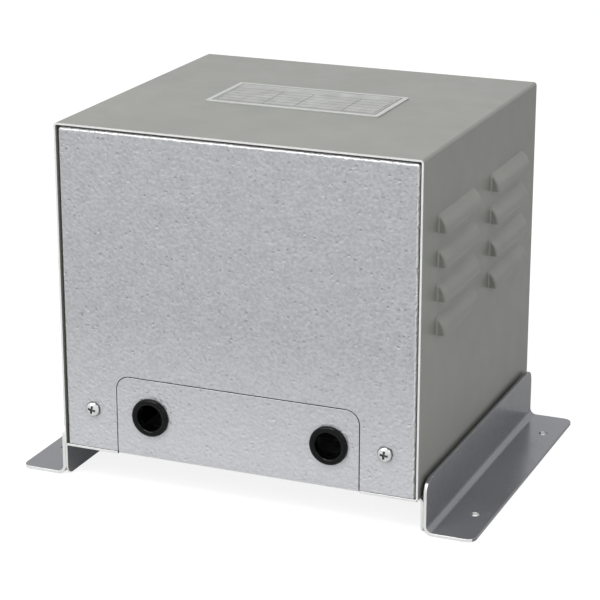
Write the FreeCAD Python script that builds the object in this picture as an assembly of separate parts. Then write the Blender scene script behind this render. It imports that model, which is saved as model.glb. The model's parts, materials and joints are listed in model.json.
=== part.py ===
import FreeCAD, Part
import math
import os

# Autotransformer in a louvred sheet-steel case that stands on two bolt-down foot brackets.
# Millimetres. X runs to the right as seen from the front, Y from the front to the rear, Z up.
# The origin is on the bench, at the centre of the box round the whole part.

V = FreeCAD.Vector
ALONG_X = V(1, 0, 0)
ALONG_Y = V(0, 1, 0)
UP = V(0, 0, 1)

# Case
case_width = 230.0        # over the two sides of the cover
case_depth = 213.0        # front edge to rear edge of the cover
case_top = 225.0          # top face of the cover above the bench
cover_sheet = 1.2
cover_bend = 2.0          # outer radius of the cover's bends
cover_flange = 12.0       # inward flanges along the cover's bottom edges
cover_flange_setback = 26.0
cover_screw_rows = 3

# Tray that carries everything
tray_lift = 21.5          # underside of the tray floor above the bench
tray_sheet = 1.5
tray_bend = 3.0           # outer radius
leg_outset = 2.0          # outer face of a leg beyond the cover's side
leg_ground_gap = 0.5
leg_corner = 6.0

# Foot brackets
foot_sheet = 2.0
foot_bend = 6.0           # outer radius
foot_web_height = 33.6
foot_flange = 31.0        # inner face of the web to the flange's edge
foot_front_inset = 4.0
foot_rear_inset = 2.0
foot_web_corner = 8.0
foot_flange_corner = 6.0
foot_hole_bore = 5.5
foot_hole_edge = 11.0     # hole centre to the flange's outer edge
foot_hole_front = 36.0    # foot's front end to the first hole
foot_hole_rear = 31.0     # second hole to the foot's rear end

# Louvres pressed out of both sides of the cover, open downwards
louvre_rows = 4
louvre_columns = 2
louvre_height = 10.5
louvre_bulge = 5.5
louvre_sheet = 1.0
louvre_drop = 38.0        # top face of the cover to the top of the first row
louvre_pitch = 20.4
louvre_end_margin = 26.5  # cover's front or rear edge to the nearest louvre
louvre_column_gap = 32.0
louvre_round = 1.2        # rounding between the arch and its end walls
louvre_foot_round = 1.2   # hollow rounding where a louvre leaves the sheet

# Front panel with a notch that lets it come off over the cable outlets
panel_sheet = 1.2
panel_bend = 2.0          # outer radius
panel_flange = 14.0
panel_gap = 1.2           # round the panel, inside the cover
panel_recess = 0.5        # behind the cover's front edge
panel_foot_gap = 0.3
notch_margin = 33.8       # panel's side to the notch
notch_height = 49.5
notch_corner = 9.0
notch_gap = 0.6
rear_flange = 8.0

# Panel screws and cable grommets share one height above the tray floor
fixing_height = 25.5
panel_screw_inset = 18.1  # from the panel's side
panel_screw_size = 5.0
lug_width = 20.0
lug_height = 37.0
lug_foot = 18.0
outlet_margin = 21.1      # notch's side to the middle of an outlet
outlet_shift = 1.8        # both outlets lie this far to the right
grommet_outer = 24.0
grommet_bore = 16.0
grommet_neck = 20.0
grommet_lip = 2.5         # thickness of each lip
grommet_round = 1.1       # rounding of the lips

# Bare nameplate on the top
plate_width = 113.0
plate_depth = 54.0
plate_sheet = 0.8
plate_corner = 1.5
plate_rear_shift = 5.0    # plate's centre behind the middle of the cover

# Laminated core of E and I stampings; yokes and outer legs are half of the centre leg
centre_leg = 52.0
stack = 80.0
core_rear_gap = 8.0       # coil to the rear panel
core_hole_play = 0.6
core_bolt_size = 6.0
clamp_sheet = 3.0
clamp_height = 22.0
clamp_foot = 22.0
clamp_bend = 5.0          # outer radius
clamp_trim = 4.0          # core's side to the clamp's end
mount_bolt_size = 8.0
mount_bolt_spread = 80.0

# Coil
leg_play = 0.5            # centre leg to the former
former_wall = 2.0
former_top_gap = 0.6
common_build = 11.5
interlayer_build = 0.8
series_build = 8.5
wrap_build = 0.8
flange_overhang = 1.3
turn_corner = 1.0

# Wiring compartment
bracket_sheet = 1.5
bracket_bend = 3.0
bracket_lug_gap = 1.5     # in width, to the lugs of the panel screws
bracket_height = 127.0
bracket_foot = 19.5
bracket_coil_gap = 7.0
bracket_screw_size = 4.0
bracket_screw_inset = 23.0
pole_pitch = 16.0
barrier = 2.0
block_height = 30.0
block_base = 10.0
block_depth = 20.0
block_ear = 10.0
block_margin = 7.5        # least distance from the bracket's side to the block's ear
block_above_tray = 78.0   # tray floor to the block's underside
strip_sheet = 1.2
strip_side_gap = 2.0      # to the barriers
strip_margin = 3.0
terminal_screw_size = 3.5
terminal_screw_spread = 14.0
earth_size = 6.0
earth_height = 14.0
earth_inset = 25.0        # from the cover's inner side
earth_back = 36.0         # behind the panel's front face

# Common fits
hole_play = 0.5           # a clearance hole over its bolt
thread_play = 0.2         # a nut over its bolt
seat_play = 0.1           # rubber in its hole
washer_sheet = 1.2
tail = 2.0                # bolt end beyond its nut

# Planes worked out from the sizes above
proud = max(grommet_lip - panel_recess, 0.6 * panel_screw_size - panel_recess)
front = proud - (case_depth + proud) / 2.0
rear = front + case_depth
side = case_width / 2.0
inner_side = side - cover_sheet
floor = tray_lift + tray_sheet
inner_top = case_top - cover_sheet
panel_face = front + panel_recess
panel_back = panel_face + panel_sheet
leg_face = side + leg_outset
leg_front = front + foot_front_inset
leg_rear = rear - foot_rear_inset
rear_panel_face = rear - panel_recess
rear_panel_inner = rear_panel_face - panel_sheet
outlet_height = floor + fixing_height
louvre_length = (case_depth - 2 * louvre_end_margin + louvre_column_gap) / louvre_columns
louvre_length -= louvre_column_gap

panel_half = inner_side - panel_gap
notch_half = panel_half - notch_margin
panel_screw_x = panel_half - panel_screw_inset
outlet_x = notch_half - outlet_margin

window = centre_leg / 2.0
yoke = centre_leg / 2.0
core_half_width = centre_leg + window
core_height = 2.5 * centre_leg
winding_build = common_build + interlayer_build + series_build + wrap_build
former_reach = leg_play + former_wall
coil_reach = former_reach + winding_build + flange_overhang
core_y = rear_panel_inner - core_rear_gap - stack / 2.0 - coil_reach
core_base = floor
window_base = core_base + yoke
window_top = core_base + core_height - yoke
former_top = window_top - former_top_gap
bracket_face = core_y - stack / 2.0 - coil_reach - bracket_coil_gap - bracket_sheet
bracket_half = panel_screw_x - lug_width / 2.0 - bracket_lug_gap
poles = int((2 * (bracket_half - block_margin - block_ear) - barrier) / pole_pitch)
strip_width = pole_pitch - barrier - 2 * strip_side_gap


def slab(x0, x1, y0, y1, z0, z1):
    """Box between two corners."""
    return Part.makeBox(x1 - x0, y1 - y0, z1 - z0, V(x0, y0, z0))


def rod(diameter, start, direction, length):
    return Part.makeCylinder(diameter / 2.0, length, start, direction)


def mirrored(shape):
    """The same shape on the other side of the middle plane."""
    return shape.mirror(V(0, 0, 0), ALONG_X)


def edges_along(shape, direction, keep=lambda middle: True):
    """Straight edges parallel to a direction whose middle point passes the test."""
    found = []
    for edge in shape.Edges:
        if not isinstance(edge.Curve, Part.Line):
            continue
        run = edge.Vertexes[-1].Point - edge.Vertexes[0].Point
        if run.cross(direction).Length < 1e-6 and keep(edge.CenterOfMass):
            found.append(edge)
    return found


def close_to(value, target):
    return abs(value - target) < 1e-3


def unit(vector):
    return vector * (1.0 / vector.Length)


def sideways(path, distance):
    """Corners of a path moved to its left by a distance."""
    normals = []
    for a, b in zip(path, path[1:]):
        ahead = unit(b - a)
        normals.append(V(-ahead.y, ahead.x, 0))
    moved = [path[0] + normals[0] * distance]
    for corner, before, after in zip(path[1:-1], normals, normals[1:]):
        moved.append(corner + (before + after) * (distance / (1.0 + before.dot(after))))
    moved.append(path[-1] + normals[-1] * distance)
    return moved


def rounded_path(path, radius):
    """Edges of an open path, with an arc at each corner."""
    edges = []
    start = path[0]
    for before, corner, after in zip(path, path[1:], path[2:]):
        back = unit(before - corner)
        ahead = unit(after - corner)
        half = back.getAngle(ahead) / 2.0
        arc_start = corner + back * (radius / math.tan(half))
        arc_end = corner + ahead * (radius / math.tan(half))
        arc_middle = corner + unit(back + ahead) * (radius / math.sin(half) - radius)
        edges.append(Part.LineSegment(start, arc_start).toShape())
        edges.append(Part.Arc(arc_start, arc_middle, arc_end).toShape())
        start = arc_end
    edges.append(Part.LineSegment(start, path[-1]).toShape())
    return edges


def folded_sheet(corners, sheet, bend, start, length):
    """Sheet folded round the corners of its outer face, drawn in X and Z and run along Y."""
    outer = [V(x, z, 0) for x, z in corners]
    turn = (outer[1] - outer[0]).cross(outer[2] - outer[1]).z
    inner = sideways(outer, math.copysign(sheet, turn))
    edges = rounded_path(outer, bend) + rounded_path(inner, bend - sheet)
    edges.append(Part.LineSegment(outer[0], inner[0]).toShape())
    edges.append(Part.LineSegment(outer[-1], inner[-1]).toShape())
    face = Part.Face(Part.Wire(Part.__sortEdges__(edges)))
    face.rotate(V(0, 0, 0), ALONG_X, 90)
    face.translate(V(0, start, 0))
    return face.extrude(V(0, length, 0))


def folded_across(corners, sheet, bend, half_width):
    """Sheet folded round corners drawn in Y and Z, and run along X to both sides."""
    turned = folded_sheet([(y, z) for y, z in corners], sheet, bend, -half_width, 2 * half_width)
    turned.rotate(V(0, 0, 0), UP, 90)
    return turned


def pan(half_width, y_face, y_open, z0, z1, sheet, bend, closed_bottom):
    """Shallow folded pan whose face stands at y_face and whose flanges run to y_open."""
    def block(inset, radius):
        inward = math.copysign(inset, y_open - y_face)
        beyond = math.copysign(sheet, y_open - y_face) if inset else 0.0
        low = z0 + inset if closed_bottom or not inset else z0 - bend
        ends = sorted((y_face + inward, y_open + beyond))
        body = slab(inset - half_width, half_width - inset, ends[0], ends[1], low, z1 - inset)
        face_y = y_face + inward

        def on_rim(middle):
            at_face = close_to(middle.y, face_y)
            return at_face and (closed_bottom or not close_to(middle.z, low))

        def on_corner(middle):
            return closed_bottom or not close_to(middle.z, low)

        edges = edges_along(body, ALONG_X, on_rim) + edges_along(body, UP, on_rim)
        edges += edges_along(body, ALONG_Y, on_corner)
        return body.makeFillet(radius, edges)

    return block(0.0, bend).cut(block(sheet, bend - sheet))


def hexagon(across_flats, base, direction, height):
    """Hexagonal prism, for nuts and bolt heads."""
    radius = across_flats / math.sqrt(3.0)
    points = []
    for step in range(7):
        angle = math.radians(60 * step)
        points.append(V(radius * math.cos(angle), radius * math.sin(angle), 0))
    prism = Part.Face(Part.makePolygon(points)).extrude(V(0, 0, height))
    prism.Placement = FreeCAD.Placement(base, FreeCAD.Rotation(UP, direction))
    return prism


def washer(size, base, direction):
    ring = rod(2.1 * size, base, direction, washer_sheet)
    return ring.cut(rod(size + hole_play, base, direction, washer_sheet))


def nut(size, base, direction):
    """Hexagonal nut that stands on its base point and reaches along the direction."""
    body = hexagon(1.6 * size, base, direction, 0.8 * size)
    return body.cut(rod(size + thread_play, base, direction, 0.8 * size))


def hex_bolt(size, seat, direction, length):
    """Bolt whose head lies before its seat and whose shank runs along the direction."""
    head = hexagon(1.6 * size, seat - direction * (0.65 * size), direction, 0.65 * size)
    return head.fuse(rod(size, seat, direction, length)).removeSplitter()


def pan_screw(size, seat, direction, length):
    """Domed screw: the head lies before its seat, the shank runs along the direction."""
    rim = 0.95 * size
    height = 0.6 * size
    shoulder = 0.35 * height
    crown = 0.55 * rim
    profile = [
        Part.LineSegment(V(0, 0, -height), V(crown, 0, -height)).toShape(),
        Part.Arc(V(crown, 0, -height),
                 V(crown + 0.72 * (rim - crown), 0, -shoulder - 0.72 * (height - shoulder)),
                 V(rim, 0, -shoulder)).toShape(),
        Part.LineSegment(V(rim, 0, -shoulder), V(rim, 0, 0)).toShape(),
        Part.LineSegment(V(rim, 0, 0), V(size / 2.0, 0, 0)).toShape(),
        Part.LineSegment(V(size / 2.0, 0, 0), V(size / 2.0, 0, length)).toShape(),
        Part.LineSegment(V(size / 2.0, 0, length), V(0, 0, length)).toShape(),
        Part.LineSegment(V(0, 0, length), V(0, 0, -height)).toShape(),
    ]
    screw = Part.Face(Part.Wire(profile)).revolve(V(0, 0, 0), UP, 360)
    screw.Placement = FreeCAD.Placement(seat, FreeCAD.Rotation(UP, direction))
    return screw


def cap_screw(size, seat, direction, length):
    """Plain screw with a flat round head before its seat, for places out of sight."""
    height = 0.6 * size
    head = rod(1.9 * size, V(0, 0, -height), UP, height)
    crown = [edge for edge in head.Edges
             if isinstance(edge.Curve, Part.Circle) and close_to(edge.CenterOfMass.z, -height)]
    screw = head.makeChamfer(0.3 * height, crown).fuse(rod(size, V(0, 0, 0), UP, length))
    screw = screw.removeSplitter()
    screw.Placement = FreeCAD.Placement(seat, FreeCAD.Rotation(UP, direction))
    return screw


def group(shapes):
    return Part.makeCompound(shapes)


def both_sides(x):
    return (-x, x)


def outlet_points(y):
    """Centres of the two cable outlets in the plane at y."""
    return [V(x + outlet_shift, y, outlet_height) for x in both_sides(outlet_x)]


def make_tray():
    """Floor with a leg folded down along each side and the outlet tab folded up in front."""
    corners = [(-leg_face, leg_ground_gap), (-leg_face, floor), (leg_face, floor),
               (leg_face, leg_ground_gap)]
    legs = folded_sheet(corners, tray_sheet, tray_bend, leg_front, leg_rear - leg_front)
    lower = edges_along(legs, ALONG_X, lambda middle: close_to(middle.z, leg_ground_gap))
    tray = legs.makeFillet(leg_corner, lower)

    tab_half = notch_half - notch_gap
    tab_top = floor + notch_height - notch_gap
    apron = leg_face - tray_bend
    for x0, x1 in ((-apron, -tab_half - notch_gap), (tab_half + notch_gap, apron)):
        tray = tray.fuse(slab(x0, x1, panel_face, leg_front, tray_lift, floor))
    tray = tray.fuse(slab(-apron, apron, leg_rear, rear, tray_lift, floor))

    tab_corners = [(leg_front, tray_lift), (panel_face, tray_lift), (panel_face, tab_top)]
    tab = folded_across(tab_corners, tray_sheet, tray_bend, tab_half)
    upper = edges_along(tab, ALONG_Y, lambda middle: close_to(middle.z, tab_top))
    tab = tab.makeFillet(notch_corner - notch_gap, upper)
    tray = tray.fuse(tab).removeSplitter()

    for point in outlet_points(panel_face):
        tray = tray.cut(rod(grommet_neck + 2 * seat_play, point, ALONG_Y, tray_sheet))
    holes = [(mount_bolt_size, x, y) for x, y in mount_points()]
    holes += [(bracket_screw_size, x, y) for x, y in cover_screw_points()]
    holes += [(bracket_screw_size, x, bracket_screw_y()) for x in bracket_screw_xs()]
    holes.append((earth_size, earth_point().x, earth_point().y))
    for size, x, y in holes:
        tray = tray.cut(rod(size + hole_play, V(x, y, tray_lift), UP, tray_sheet))
    return tray


def make_foot():
    """Right-hand foot: an angle bracket with rounded corners and two fixing holes."""
    outer_edge = leg_face + foot_flange
    corners = [(leg_face, foot_web_height), (leg_face, 0), (outer_edge, 0)]
    foot = folded_sheet(corners, foot_sheet, foot_bend, leg_front, leg_rear - leg_front)
    top = edges_along(foot, ALONG_X, lambda middle: close_to(middle.z, foot_web_height))
    foot = foot.makeFillet(foot_web_corner, top)
    edge = edges_along(foot, UP, lambda middle: close_to(middle.x, outer_edge))
    foot = foot.makeFillet(foot_flange_corner, edge)
    for x, y in foot_hole_points():
        foot = foot.cut(rod(foot_hole_bore, V(x, y, 0), UP, foot_sheet))
    return foot


def foot_hole_points():
    x = leg_face + foot_flange - foot_hole_edge
    return [(x, leg_front + foot_hole_front), (x, leg_rear - foot_hole_rear)]


def louvre_arch(inset, back):
    """Arch with a wall at each end, inset from the louvre's skin.

    It stands out of the plane x = 0 to the right, with its open lip on z = 0, and
    runs on behind that plane as far as back.
    """
    radius = (louvre_bulge ** 2 + louvre_height ** 2) / (2 * louvre_bulge)
    half = louvre_length / 2.0 - inset
    arch = rod(2 * (radius - inset), V(louvre_bulge - radius, -half, 0), ALONG_Y, 2 * half)
    return arch.common(slab(-back, louvre_bulge, -half, half, 0, radius))


def louvre_hood():
    """Louvre on a scrap of the sheet, rounded at its ends and where it leaves the sheet."""
    half_sheet = cover_sheet / 2.0
    arch = louvre_arch(0, half_sheet)
    rims = [edge for edge in arch.Edges
            if not isinstance(edge.Curve, Part.Line) and close_to(edge.BoundBox.XMax, louvre_bulge)]
    arch = arch.makeFillet(louvre_round, rims)
    margin = 2 * louvre_foot_round
    scrap_half = louvre_length / 2.0 + margin
    scrap_top = louvre_height + margin
    hood = arch.fuse(slab(-half_sheet, 0, -scrap_half, scrap_half, 0, scrap_top)).removeSplitter()
    foot = []
    for edge in hood.Edges:
        box = edge.BoundBox
        on_sheet = close_to(box.XMin, 0) and close_to(box.XMax, 0)
        in_height = louvre_foot_round < box.ZMax < scrap_top
        if on_sheet and in_height and max(-box.YMin, box.YMax) < scrap_half:
            foot.append(edge)
    return hood.makeFillet(louvre_foot_round, foot)


def louvre_points():
    """Lip centre of every louvre on one side, as Y and Z."""
    points = []
    middle = (front + rear) / 2.0
    for column in range(louvre_columns):
        steps = column - (louvre_columns - 1) / 2.0
        y = middle + steps * (louvre_length + louvre_column_gap)
        for row in range(louvre_rows):
            points.append((y, case_top - louvre_drop - louvre_height - row * louvre_pitch))
    return points


def make_cover():
    """Wrap-round cover: top, two louvred sides and an inward flange under each side."""
    corners = [(-side, floor), (-side, case_top), (side, case_top), (side, floor)]
    cover = folded_sheet(corners, cover_sheet, cover_bend, front, case_depth)
    flange_front = front + cover_flange_setback
    flange_rear = rear - cover_flange_setback
    fold_height = 3 * cover_bend
    corners = [(side - cover_flange, floor), (side, floor), (side, floor + fold_height)]
    fold = folded_sheet(corners, cover_sheet, cover_bend, flange_front, flange_rear - flange_front)
    for x, y in cover_screw_points():
        if x > 0:
            fold = fold.cut(rod(bracket_screw_size + hole_play, V(x, y, floor), UP, cover_sheet))
    strip = slab(inner_side, side, flange_front, flange_rear, floor, floor + fold_height)
    for turn in (lambda shape: shape, mirrored):
        cover = cover.cut(turn(strip)).fuse(turn(fold))
    cover = cover.removeSplitter()

    hood = louvre_hood()
    throat = louvre_arch(louvre_sheet, 2 * cover_sheet)
    hoods = []
    throats = []
    for y, z in louvre_points():
        for shape, kept in ((hood, hoods), (throat, throats)):
            placed = shape.copy()
            placed.translate(V(side, y, z))
            kept += [placed, mirrored(placed)]
    return cover.fuse(hoods).removeSplitter().cut(throats)


def make_front_panel():
    """Front cover: a pan that is open below, with the notch for the outlet tab."""
    base = floor + panel_foot_gap
    panel = pan(panel_half, panel_face, panel_face + panel_flange, base, inner_top - panel_gap,
                panel_sheet, panel_bend, False)
    notch = slab(-notch_half, notch_half, panel_face, panel_back, base, floor + notch_height)
    top = edges_along(notch, ALONG_Y, lambda middle: middle.z > base + 1.0)
    panel = panel.cut(notch.makeFillet(notch_corner, top))
    for x in both_sides(panel_screw_x):
        point = V(x, panel_face, outlet_height)
        panel = panel.cut(rod(panel_screw_size + hole_play, point, ALONG_Y, panel_sheet))
    return panel


def make_rear_panel():
    return pan(inner_side, rear_panel_face, rear_panel_face - rear_flange, floor, inner_top,
               panel_sheet, panel_bend, True)


def make_nameplate():
    y = (front + rear) / 2.0 + plate_rear_shift
    plate = slab(-plate_width / 2.0, plate_width / 2.0, y - plate_depth / 2.0,
                 y + plate_depth / 2.0, case_top, case_top + plate_sheet)
    return plate.makeFillet(plate_corner, edges_along(plate, UP))


def make_grommet(point):
    """Rubber ring with a lip on each side of the tab; the point is on the tab's front face."""
    outer = grommet_outer / 2.0
    neck = grommet_neck / 2.0
    hole = grommet_bore / 2.0
    length = tray_sheet + 2 * grommet_lip
    body = rod(2 * outer, V(0, 0, 0), UP, length)
    rims = [edge for edge in body.Edges if isinstance(edge.Curve, Part.Circle)]
    body = body.makeFillet(grommet_round, rims)
    bore = rod(2 * hole, V(0, 0, 0), UP, length)
    groove = rod(2 * outer + 1, V(0, 0, grommet_lip), UP, tray_sheet)
    groove = groove.cut(rod(2 * neck, V(0, 0, grommet_lip), UP, tray_sheet))
    ring = body.cut(bore).cut(groove)
    place = V(point.x, point.y - grommet_lip, point.z)
    ring.Placement = FreeCAD.Placement(place, FreeCAD.Rotation(UP, ALONG_Y))
    return ring


def make_lug():
    """Angle on the tray floor behind the right-hand panel screw."""
    corners = [(panel_back + lug_foot, floor), (panel_back, floor), (panel_back, floor + lug_height)]
    lug = folded_across(corners, tray_sheet, tray_bend, lug_width / 2.0)
    lug.translate(V(panel_screw_x, 0, 0))
    point = V(panel_screw_x, panel_back, outlet_height)
    return lug.cut(rod(panel_screw_size + hole_play, point, ALONG_Y, tray_sheet))


def panel_screw_parts():
    """Nut behind the right-hand lug and the screw through panel, lug and nut."""
    nut_face = panel_back + tray_sheet
    length = nut_face + 0.8 * panel_screw_size + tail - panel_face
    nut_solid = nut(panel_screw_size, V(panel_screw_x, nut_face, outlet_height), ALONG_Y)
    seat = V(panel_screw_x, panel_face, outlet_height)
    return nut_solid, pan_screw(panel_screw_size, seat, ALONG_Y, length)


def cover_screw_points():
    x = side - cover_flange / 2.0 - cover_sheet / 2.0
    first = front + cover_flange_setback + cover_flange
    last = rear - cover_flange_setback - cover_flange
    step = (last - first) / (cover_screw_rows - 1)
    return [(sign * x, first + row * step) for sign in (-1, 1) for row in range(cover_screw_rows)]


def make_cover_screws():
    """Screws from below through the tray into nuts on the cover's flanges."""
    nut_base = floor + cover_sheet
    length = nut_base + 0.8 * bracket_screw_size + tail - tray_lift
    screws = []
    nuts = []
    for x, y in cover_screw_points():
        screws.append(cap_screw(bracket_screw_size, V(x, y, tray_lift), UP, length))
        nuts.append(nut(bracket_screw_size, V(x, y, nut_base), UP))
    return group(screws), group(nuts)


def core_bolt_points():
    x = core_half_width - yoke / 2.0
    heights = (core_base + yoke / 2.0, core_base + core_height - yoke / 2.0)
    return [(sign * x, z) for sign in (-1, 1) for z in heights]


def make_core():
    """Stack of laminations with two windows and a bolt hole in each corner."""
    y0 = core_y - stack / 2.0
    y1 = core_y + stack / 2.0
    core = slab(-core_half_width, core_half_width, y0, y1, core_base, core_base + core_height)
    for x in both_sides((centre_leg + window) / 2.0):
        core = core.cut(slab(x - window / 2.0, x + window / 2.0, y0, y1, window_base, window_top))
    for x, z in core_bolt_points():
        core = core.cut(rod(core_bolt_size + core_hole_play, V(x, y0, z), ALONG_Y, stack))
    return core


def round_block(reach, radius, z0, z1):
    """Block round the centre leg, reaching beyond it all round, with rounded corners."""
    half_x = centre_leg / 2.0 + reach
    half_y = stack / 2.0 + reach
    block = slab(-half_x, half_x, core_y - half_y, core_y + half_y, z0, z1)
    return block.makeFillet(radius, edges_along(block, UP))


def coil_ring(inner_reach, build, z0, z1):
    """One closed layer of the coil, its corners concentric with the former's."""
    inner_radius = turn_corner + inner_reach - leg_play
    outer = round_block(inner_reach + build, inner_radius + build, z0, z1)
    return outer.cut(round_block(inner_reach, inner_radius, z0, z1))


def make_coil():
    """Former with two end flanges, and the layers wound on it."""
    low = window_base + former_wall
    high = former_top - former_wall
    former = coil_ring(leg_play, former_wall, window_base, former_top)
    flange_build = former_wall + winding_build + flange_overhang
    for z0 in (window_base, high):
        former = former.fuse(coil_ring(leg_play, flange_build, z0, z0 + former_wall))
    layers = {"former": former.removeSplitter()}
    reach = former_reach
    for name, build in (("winding_common", common_build), ("winding_interlayer", interlayer_build),
                        ("winding_series", series_build), ("winding_wrap", wrap_build)):
        layers[name] = coil_ring(reach, build, low, high)
        reach += build
    return layers


def mount_points():
    reach = stack / 2.0 + clamp_foot - 0.45 * (clamp_foot - clamp_sheet)
    return [(x, core_y + sign * reach) for x in both_sides(mount_bolt_spread / 2.0)
            for sign in (-1, 1)]


def make_clamp_angle(sign):
    """Angle that grips the lower yoke and stands on the tray; sign -1 is the front one."""
    half = core_half_width - clamp_trim
    grip = stack / 2.0
    corners = [(grip + clamp_foot, core_base), (grip, core_base), (grip, core_base + clamp_height)]
    angle = folded_across(corners, clamp_sheet, clamp_bend, half)
    if sign < 0:
        angle.rotate(V(0, 0, 0), UP, 180)
    angle.translate(V(0, core_y, 0))
    for x, z in core_bolt_points():
        start = V(x, core_y - stack, z)
        angle = angle.cut(rod(core_bolt_size + hole_play, start, ALONG_Y, 2 * stack))
    for x, y in mount_points():
        angle = angle.cut(rod(mount_bolt_size + hole_play, V(x, y, core_base), UP, clamp_sheet))
    return angle


def make_clamp_bar(sign):
    """Flat bar across the upper yoke; sign -1 is the front one."""
    half = core_half_width - clamp_trim
    y = core_y + sign * (stack + clamp_sheet) / 2.0
    z = core_base + core_height - yoke / 2.0
    bar = slab(-half, half, y - clamp_sheet / 2.0, y + clamp_sheet / 2.0,
               z - clamp_height / 2.0, z + clamp_height / 2.0)
    bar = bar.makeFillet(clamp_sheet, edges_along(bar, ALONG_Y))
    for x, z in core_bolt_points():
        start = V(x, core_y - stack, z)
        bar = bar.cut(rod(core_bolt_size + hole_play, start, ALONG_Y, 2 * stack))
    return bar


def make_core_fasteners():
    """Bolts through both clamps and the core, with a washer under each head and nut."""
    grip = stack / 2.0 + clamp_sheet
    bolts = []
    washers = []
    nuts = []
    for x, z in core_bolt_points():
        head_seat = V(x, core_y - grip - washer_sheet, z)
        nut_seat = V(x, core_y + grip + washer_sheet, z)
        length = 2 * (grip + washer_sheet) + 0.8 * core_bolt_size + tail
        bolts.append(hex_bolt(core_bolt_size, head_seat, ALONG_Y, length))
        washers.append(washer(core_bolt_size, head_seat, ALONG_Y))
        washers.append(washer(core_bolt_size, V(x, core_y + grip, z), ALONG_Y))
        nuts.append(nut(core_bolt_size, nut_seat, ALONG_Y))
    return group(bolts), group(washers), group(nuts)


def make_mount_fasteners():
    """Bolts from below through the tray and the feet of the lower clamps."""
    clamp_top = core_base + clamp_sheet
    bolts = []
    washers = []
    nuts = []
    for x, y in mount_points():
        head_seat = V(x, y, tray_lift - washer_sheet)
        nut_seat = clamp_top + washer_sheet
        length = nut_seat + 0.8 * mount_bolt_size + tail - head_seat.z
        bolts.append(hex_bolt(mount_bolt_size, head_seat, UP, length))
        washers.append(washer(mount_bolt_size, head_seat, UP))
        washers.append(washer(mount_bolt_size, V(x, y, clamp_top), UP))
        nuts.append(nut(mount_bolt_size, V(x, y, nut_seat), UP))
    return group(bolts), group(washers), group(nuts)


def bracket_screw_xs():
    return both_sides(bracket_half - bracket_screw_inset)


def bracket_screw_y():
    return bracket_face + bracket_sheet - bracket_foot + 1.3 * bracket_screw_size


def block_screw_points():
    x = poles * pole_pitch / 2.0 + barrier / 2.0 + block_ear / 2.0
    z = floor + block_above_tray + block_height / 2.0
    return [(-x, z), (x, z)]


def make_bracket():
    """Upright plate in front of the coil that carries the terminal block."""
    back = bracket_face + bracket_sheet
    corners = [(back - bracket_foot, floor), (back, floor), (back, floor + bracket_height)]
    bracket = folded_across(corners, bracket_sheet, bracket_bend, bracket_half)
    top = edges_along(bracket, ALONG_Y, lambda middle: middle.z > floor + bracket_height - 1.0)
    bracket = bracket.makeFillet(2 * bracket_bend, top)
    for x in bracket_screw_xs():
        point = V(x, bracket_screw_y(), floor)
        bracket = bracket.cut(rod(bracket_screw_size + hole_play, point, UP, bracket_sheet))
    for x, z in block_screw_points():
        point = V(x, bracket_face, z)
        bracket = bracket.cut(rod(bracket_screw_size + hole_play, point, ALONG_Y, bracket_sheet))
    return bracket


def make_bracket_fasteners():
    top = floor + bracket_sheet
    length = top + 0.8 * bracket_screw_size + tail - tray_lift
    screws = []
    nuts = []
    for x in bracket_screw_xs():
        y = bracket_screw_y()
        screws.append(cap_screw(bracket_screw_size, V(x, y, tray_lift), UP, length))
        nuts.append(nut(bracket_screw_size, V(x, y, top), UP))
    return group(screws), group(nuts)


def pole_xs():
    return [(pole - (poles - 1) / 2.0) * pole_pitch for pole in range(poles)]


def terminal_screw_points():
    middle = floor + block_above_tray + block_height / 2.0
    heights = (middle - terminal_screw_spread / 2.0, middle + terminal_screw_spread / 2.0)
    return [(x, z) for x in pole_xs() for z in heights]


def make_terminal_block():
    """Moulded strip with a barrier on each side of every pole and an ear at each end."""
    half = poles * pole_pitch / 2.0 + barrier / 2.0
    z0 = floor + block_above_tray
    z1 = z0 + block_height
    strip = slab(-half, half, bracket_face - block_base, bracket_face, z0, z1)
    for pole in range(poles + 1):
        x = (pole - poles / 2.0) * pole_pitch
        strip = strip.fuse(slab(x - barrier / 2.0, x + barrier / 2.0,
                                bracket_face - block_depth, bracket_face, z0, z1))
    ear_base = block_base / 2.0
    ears = slab(-half - block_ear, half + block_ear, bracket_face - ear_base, bracket_face,
                z0 + barrier, z1 - barrier)
    ears = ears.makeFillet(block_ear / 3.0, edges_along(ears, ALONG_Y))
    block = strip.fuse(ears).removeSplitter()
    for x, z in block_screw_points():
        start = V(x, bracket_face - block_base, z)
        block = block.cut(rod(bracket_screw_size + hole_play, start, ALONG_Y, block_base))
    for x, z in terminal_screw_points():
        start = V(x, bracket_face - block_base, z)
        block = block.cut(rod(terminal_screw_size + hole_play, start, ALONG_Y, block_base / 2.0))
    return block


def make_terminals():
    """Brass strip across each pole and the two screws that hold wires on it."""
    z0 = floor + block_above_tray + strip_margin
    z1 = floor + block_above_tray + block_height - strip_margin
    seat = bracket_face - block_base - strip_sheet
    strips = []
    for x in pole_xs():
        strip = slab(x - strip_width / 2.0, x + strip_width / 2.0, seat, seat + strip_sheet, z0, z1)
        for screw_x, screw_z in terminal_screw_points():
            if close_to(screw_x, x):
                start = V(screw_x, seat, screw_z)
                strip = strip.cut(rod(terminal_screw_size + hole_play, start, ALONG_Y, strip_sheet))
        strips.append(strip)
    length = strip_sheet + 0.4 * block_base
    screws = [cap_screw(terminal_screw_size, V(x, seat, z), ALONG_Y, length)
              for x, z in terminal_screw_points()]
    return group(strips), group(screws)


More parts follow.
